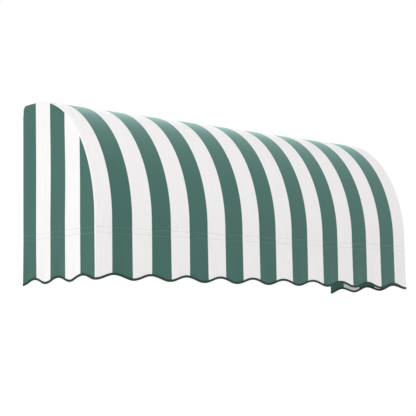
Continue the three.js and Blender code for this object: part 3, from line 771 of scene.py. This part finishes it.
def painted_board(name, floor):
    """Matt white painted floor, with the faint unevenness of a roller.

    What the eye and shiny metal see of it is lifted a little and goes over into the white surroundings
    further out, so that the shadow stays and no edge shows. From underneath it lets the view through.
    """
    made, tree = empty_material(name)
    place = own_place(tree)
    roller = noise(tree, place, 40 * MM, 3)
    shade = between(tree, roller, tone(linear("#efefee")), tone(linear("#f2f2f1")))
    seen = seen_directly(tree)
    near = add(tree, "ShaderNodeBsdfPrincipled", {
        "Base Color": shade, "Roughness": 0.9, "IOR": 1.45, "Emission Color": (1, 1, 1, 1),
        "Emission Strength": calc(tree, "MULTIPLY", seen, FLOOR_LIFT)}).outputs[0]
    middle = (0, FADE_MIDDLE, floor)
    away = add(tree, "ShaderNodeVectorMath", {0: place, 1: middle}, operation="DISTANCE").outputs["Value"]
    fade = add(tree, "ShaderNodeMapRange", {0: away, 1: FADE_START, 2: FADE_END},
               interpolation_type="SMOOTHSTEP").outputs[0]
    white = add(tree, "ShaderNodeEmission", {"Color": (1, 1, 1, 1), "Strength": 1.0}).outputs[0]
    share = calc(tree, "MULTIPLY", fade, seen)
    paint = add(tree, "ShaderNodeMixShader", {0: share, 1: near, 2: white}).outputs[0]
    clear = add(tree, "ShaderNodeBsdfTransparent").outputs[0]
    under = add(tree, "ShaderNodeNewGeometry").outputs["Backfacing"]
    board = add(tree, "ShaderNodeMixShader", {0: under, 1: paint, 2: clear}).outputs[0]
    add(tree, "ShaderNodeOutputMaterial", {"Surface": board})
    return made


class AWNING_OT_front_cover(Operator):
    """Makes the front of the cover, from the rear hem over the curve to the valance"""

    bl_idname = "awning.front_cover"
    bl_label = "Front cover"

    def execute(self, context):
        cover = context.scene.awning_cover
        outer, inner, flat = front_cloth(cover)
        uv = np.concatenate([flat.reshape(-1, 2)] * 2)
        made = piece("front_cover", *shell(outer, inner), ["front_panel"], "canvas",
                     finish(striped_acrylic_canvas, cover), uv)
        return {"FINISHED"}


class AWNING_OT_end_covers(Operator):
    """Makes the two flat ends of the cover with their hems and valances"""

    bl_idname = "awning.end_covers"
    bl_label = "End covers"

    def execute(self, context):
        cover = context.scene.awning_cover
        for hand, side in HANDS:
            outer, inner, flat = end_cloth(side, cover)
            flap = hem_flap(side, cover)
            points, faces = several([shell(outer, inner), shell(*flap[:2])])
            uv = np.concatenate([f.reshape(-1, 2) for f in (flat, flat, flap[2], flap[2])])
            made = piece(f"{hand}_end_cover", points, faces, [f"{hand}_end_panel"], "canvas",
                         finish(striped_acrylic_canvas, cover), uv)
        return {"FINISHED"}


class AWNING_OT_binding(Operator):
    """Makes the dark binding folded round the scalloped edge"""

    bl_idname = "awning.binding"
    bl_label = "Binding"

    def execute(self, context):
        cover = context.scene.awning_cover
        outer, inner = binding_lines()
        runs = (("front_binding", front_edge(cover), "front_braid", "front_cover"),
                ("left_end_binding", end_edge(-1, cover), "left_end_braid", "left_end_cover"),
                ("right_end_binding", end_edge(1, cover), "right_end_braid", "right_end_cover"))
        for name, (path, across), node, cloth in runs:
            points, faces = band(path, across, upward(path, across), outer, inner)
            around = np.concatenate([lengths(outer), lengths(inner)[::-1]])
            along = lengths(path)
            uv = np.stack(np.broadcast_arrays(along[:, None], around), axis=2).reshape(-1, 2)
            made = piece(name, points, faces, [node], "braid", finish(woven_polyester_tape, cover), uv)
        return {"FINISHED"}


class AWNING_OT_pockets(Operator):
    """Makes the pockets that hold the front rail and the arms inside the cover"""

    bl_idname = "awning.pockets"
    bl_label = "Pockets"

    def execute(self, context):
        cover = context.scene.awning_cover
        for hand, side in HANDS:
            low, high = corners(f"{hand}_front_pocket")
            x = np.linspace(low[0], high[0], 60)
            seam = np.stack([x, np.full_like(x, low[1]), np.zeros_like(x)], axis=1)
            self.sew(cover, f"{hand}_front_sleeve", seam, (0, 1, 0), f"{hand}_front_pocket", "front_rail")
            low, high = corners(f"{hand}_arm_pocket")
            y = np.linspace(low[1], high[1], 36)
            seam = np.stack([np.full_like(y, low[0] if side < 0 else high[0]), y, np.zeros_like(y)], axis=1)
            self.sew(cover, f"{hand}_arm_sleeve", seam, (-side, 0, 0), f"{hand}_arm_pocket", f"{hand}_arm")
        return {"FINISHED"}

    def sew(self, cover, name, seam, inward, node, tube):
        """One pocket carried along its seam, with a swell that comes and goes and dies out at its ends."""
        along = lengths(seam)
        swell = 0.5 * POCKET_SWELL * (1 - np.cos(2 * np.pi * along / POCKET_WAVE))
        swell = np.abs(swell * np.sin(np.pi * along / along[-1]) ** 0.5)
        outer, inner = sleeve_lines(swell, POCKET_CLOTH)
        across, up = (np.tile(np.array(way, float), (len(seam), 1)) for way in (inward, (0, 0, 1)))
        made = piece(name, *band(seam, across, up, outer, inner), [node], "pocket_cloth",
                     finish(plain_acrylic_canvas, cover))


class AWNING_OT_sewing(Operator):
    """Makes the stitches: two rows along the rail all round, and one row through the binding"""

    bl_idname = "awning.sewing"
    bl_label = "Sewing"

    def execute(self, context):
        cover, sewing = context.scene.awning_cover, context.scene.awning_sewing
        pale = finish(spun_polyester_thread, "rail", sewing.colour)
        dark = finish(spun_polyester_thread, "binding", cover.binding)
        x = np.linspace(SEW_INSET - HALF, HALF - SEW_INSET, 600)
        out = np.tile([0.0, -1.0, 0.0], (len(x), 1))
        paths = [np.stack([x, front_hang(x, z, cover) - REACH, np.full_like(x, z)], axis=1)
                 for z in SEW_HEIGHTS]
        rows = [stitches(path, out, sewing) for path in paths]
        piece("front_rail_stitches", *several(rows), [], "canvas", pale)
        path, across = front_edge(cover)
        piece("front_binding_stitches", *self.through_binding(path, across, sewing), [], "braid", dark)
        depth = np.linspace(BACK + SEW_INSET, REACH - SEW_INSET, 160)
        for hand, side in HANDS:
            out = np.tile([float(side), 0.0, 0.0], (len(depth), 1))
            paths = [np.stack([side * (HALF - END_INSET - end_hang(depth, z, cover)), -depth,
                               np.full_like(depth, z)], axis=1) for z in SEW_HEIGHTS]
            rows = [stitches(path, out, sewing) for path in paths]
            piece(f"{hand}_end_rail_stitches", *several(rows), [], "canvas", pale)
            path, across = end_edge(side, cover)
            rows = self.through_binding(path, across, sewing)
            piece(f"{hand}_end_binding_stitches", *rows, [], "braid", dark)
        return {"FINISHED"}

    def through_binding(self, path, across, sewing):
        """Rows on both faces of the binding, a little below its upper edge."""
        line = path + upward(path, across) * (BINDING - BINDING_SEAM)
        rows = [stitches(line + face * BINDING_HALF * across, face * across, sewing) for face in (1, -1)]
        return several(rows)


class AWNING_OT_screws(Operator):
    """Makes the screws that hold the brackets and the clamp bars to the frame"""

    bl_idname = "awning.screws"
    bl_label = "Screws"

    def execute(self, context):
        metal = context.scene.awning_metal
        zinc = finish(zinc_plated_steel, metal)
        half = 0.5 * metal.head
        # A hexagon on a washer, and a flush head with a hexagon socket
        washer = turned_head([
            (0, 0, False), (1.4 * half, 0, False), (1.4 * half, 0.7 * MM, False),
            (1.25 * half, 1.1 * MM, False), (half, 1.5 * MM, True), (half, 3.9 * MM, True),
            (0.86 * half, 4.6 * MM, False), (0.55 * half, 4.6 * MM, False), (0.45 * half, 4.1 * MM, False),
            (0, 4.0 * MM, False)])
        flush = turned_head([
            (0, -1.2 * MM, False), (1.9 * MM, -1.2 * MM, False), (3.6 * MM, 0, False),
            (3.6 * MM, 0.2 * MM, False), (3.1 * MM, 0.5 * MM, False), (1.4 * MM, 0.5 * MM, True),
            (1.4 * MM, -0.8 * MM, True), (0, -0.9 * MM, False)])
        out, apart = HEADER_SCREWS
        for hand in ("left", "centre", "right"):
            low, high = corners(f"{hand}_header_bracket")
            middle, shelf = 0.5 * (low[0] + high[0]), high[2] - BRACKET_PLATE
            heads = [placed(washer, (middle + off, -out, shelf), (0, 0, -1)) for off in (-apart, apart)]
            piece(f"{hand}_header_bracket_screws", *several(heads), [], "bracket", zinc, merge=True)
        out, apart = FOOT_SCREWS
        for hand, side in HANDS:
            low, high = corners(f"{hand}_foot_bracket")
            middle, ear = 0.5 * (low[2] + high[2]), max(abs(low[0]), abs(high[0])) - BRACKET_PLATE
            heads = [placed(washer, (side * ear, -out, middle + off), (-side, 0, 0))
                     for off in (-apart, apart)]
            piece(f"{hand}_foot_bracket_screws", *several(heads), [], "bracket", zinc, merge=True)
            low, high = corners(f"{hand}_clamp_bar")
            heights = np.linspace(low[2] + BAR_SCREWS, high[2] - BAR_SCREWS, 4)
            heads = [placed(flush, (0.5 * (low[0] + high[0]), high[1], z), (0, 1, 0)) for z in heights]
            piece(f"{hand}_clamp_bar_screws", *several(heads), [], "bracket", zinc, merge=True)
        low, high = corners("header_clamp_bar")
        heads = [placed(flush, (x, high[1], 0.5 * (low[2] + high[2])), (0, 1, 0))
                 for x in np.linspace(low[0] + BAR_SCREWS, high[0] - BAR_SCREWS, 7)]
        piece("header_clamp_bar_screws", *several(heads), [], "bracket", zinc, merge=True)
        return {"FINISHED"}


class AWNING_OT_finishes(Operator):
    """Gives the tubes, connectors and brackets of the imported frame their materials"""

    bl_idname = "awning.finishes"
    bl_label = "Finishes"

    def execute(self, context):
        metal = context.scene.awning_metal
        runs = {
            "x": ["header_rail", "front_rail", "header_clamp_bar"],
            "y": ["left_arm", "right_arm"],
            "z": ["left_upright", "right_upright", "left_clamp_bar", "right_clamp_bar"],
            "bow": ["left_end_bow", "centre_bow", "right_end_bow"],
        }
        given = {node: finish(mill_finish_aluminium, run, metal)
                 for run, nodes in runs.items() for node in nodes}
        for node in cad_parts:
            if node.endswith(("_corner", "_saddle")):
                given[node] = finish(moulded_nylon, metal)
            if node.endswith("_bracket"):
                given[node] = finish(zinc_plated_steel, metal)
        for node, material in given.items():
            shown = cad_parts[node]
            if not shown.material_slots:
                shown.data.materials.append(material)
            for slot in shown.material_slots:
                slot.material = material
        return {"FINISHED"}


class AWNING_OT_stage(Operator):
    """Makes the floor, the soft lights, the pale surroundings and the camera"""

    bl_idname = "awning.stage"
    bl_label = "Stage"

    def execute(self, context):
        scene, stage = context.scene, context.scene.awning_stage
        scene.view_settings.view_transform = "Standard"
        self.make_floor(scene, stage)
        self.make_world(scene, stage)
        self.make_lamps(scene, stage)
        self.make_camera(scene)
        return {"FINISHED"}

    def make_floor(self, scene, stage):
        """A square floor well below the awning."""
        side = np.linspace(-FLOOR_HALF, FLOOR_HALF, FLOOR_POINTS)
        x, y = np.meshgrid(side, side + FLOOR_MIDDLE, indexing="ij")
        mesh = bpy.data.meshes.new("floor")
        points = np.stack([x, y, np.full(x.shape, stage.floor)], axis=2).reshape(-1, 3)
        mesh.from_pydata(points.tolist(), [], quads(FLOOR_POINTS, FLOOR_POINTS)[:, ::-1].tolist())
        mesh.materials.append(finish(painted_board, stage.floor))
        floor = bpy.data.objects.new("floor", mesh)
        scene.collection.objects.link(floor)

    def make_world(self, scene, stage):
        """Surroundings that look white and light the awning more weakly than they look."""
        world = bpy.data.worlds.new("pale_studio")
        world.use_nodes = True
        world.node_tree.nodes.clear()
        tree = world.node_tree
        light = add(tree, "ShaderNodeBackground", {"Color": (1, 1, 1, 1), "Strength": stage.ambient})
        white = add(tree, "ShaderNodeBackground", {"Color": (1, 1, 1, 1), "Strength": 1.0})
        mixed = add(tree, "ShaderNodeMixShader", {
            0: seen_directly(tree), 1: light.outputs[0], 2: white.outputs[0]})
        add(tree, "ShaderNodeOutputWorld", {"Surface": mixed.outputs[0]})
        scene.world = world

    def make_lamps(self, scene, stage):
        """Square soft lights, aimed at the awning's middle and as strong as the settings say."""
        aim = Vector(LAMP_AIM)
        for name, (place, size) in LAMPS.items():
            data = bpy.data.lights.new(name, "AREA")
            data.shape, data.size, data.energy = "SQUARE", size, getattr(stage, name)
            lamp = bpy.data.objects.new(name, data)
            lamp.location = place
            lamp.rotation_euler = (aim - Vector(place)).to_track_quat("-Z", "Y").to_euler()
            lamp.visible_camera = False
            scene.collection.objects.link(lamp)

    def make_camera(self, scene):
        """The camera that sees the awning as the photo shows it."""
        ahead, right = Vector(CAMERA_AHEAD), Vector(CAMERA_RIGHT)
        data = bpy.data.cameras.new("camera")
        data.sensor_width, data.lens = CAMERA_SENSOR, CAMERA_LENS
        camera = bpy.data.objects.new("camera", data)
        turn = Matrix([right, (-ahead).cross(right), -ahead]).transposed().to_4x4()
        camera.matrix_world = Matrix.Translation(CAMERA_PLACE) @ turn
        scene.collection.objects.link(camera)
        scene.camera = camera


PIECES = (AWNING_OT_front_cover, AWNING_OT_end_covers, AWNING_OT_binding, AWNING_OT_pockets, AWNING_OT_sewing,
          AWNING_OT_screws, AWNING_OT_finishes, AWNING_OT_stage)


class AWNING_PT_pieces(Panel):
    """Settings and makers of the awning's pieces"""

    bl_idname = "AWNING_PT_pieces"
    bl_label = "Awning"
    bl_space_type = "VIEW_3D"
    bl_region_type = "UI"
    bl_category = "Awning"

    def draw(self, context):
        for group in SETTINGS:
            box = self.layout.box()
            settings = getattr(context.scene, group)
            for name in settings.__annotations__:
                box.prop(settings, name)
        for maker in PIECES:
            self.layout.operator(maker.bl_idname)


SETTINGS = {"awning_cover": CoverSettings, "awning_sewing": SewingSettings, "awning_metal": MetalSettings,
            "awning_stage": StageSettings}


def register():
    for made in (*SETTINGS.values(), *PIECES, AWNING_PT_pieces):
        bpy.utils.register_class(made)
    for name, group in SETTINGS.items():
        setattr(bpy.types.Scene, name, PointerProperty(type=group))


def unregister():
    for name in SETTINGS:
        delattr(bpy.types.Scene, name)
    for made in reversed((*SETTINGS.values(), *PIECES, AWNING_PT_pieces)):
        bpy.utils.unregister_class(made)


def main():
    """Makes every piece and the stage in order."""
    register()
    for maker in PIECES:
        group, name = maker.bl_idname.split(".")
        getattr(getattr(bpy.ops, group), name)()
    bpy.context.view_layer.update()


if __name__ == "__main__":
    main()
